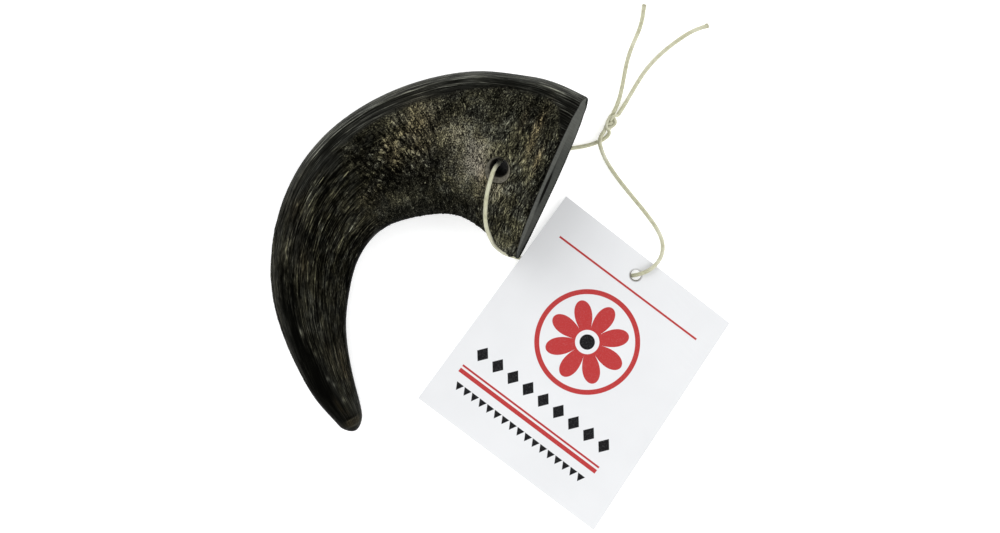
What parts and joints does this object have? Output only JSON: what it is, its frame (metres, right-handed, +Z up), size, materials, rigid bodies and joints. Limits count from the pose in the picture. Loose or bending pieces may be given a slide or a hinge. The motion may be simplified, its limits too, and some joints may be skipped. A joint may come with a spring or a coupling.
{
  "type": "buffalo horn",
  "caption": "Curved dark horn tip sawn off at its thick end and drilled through, with a knotted string that carries a printed card tag.",
  "frame": {"origin": "on the surface that the horn lies on, below the middle of the horn's outline", "axes": "+X from the horn's bend towards its sawn end, +Y from its tip towards its outer curve, +Z up"},
  "size_m": [0.154, 0.1775, 0.029],
  "materials": {
    "horn": "rough grown horn, smooth towards the tip",
    "string": "waxed cotton",
    "tag": "satin printed card"
  },
  "bodies": {
    "root": {"horn": "horn", "string_loop": "string", "string_tail_upper": "string", "string_tail_right": "string", "string_knot": "string", "tag": "tag"}
  },
  "joints": []
}
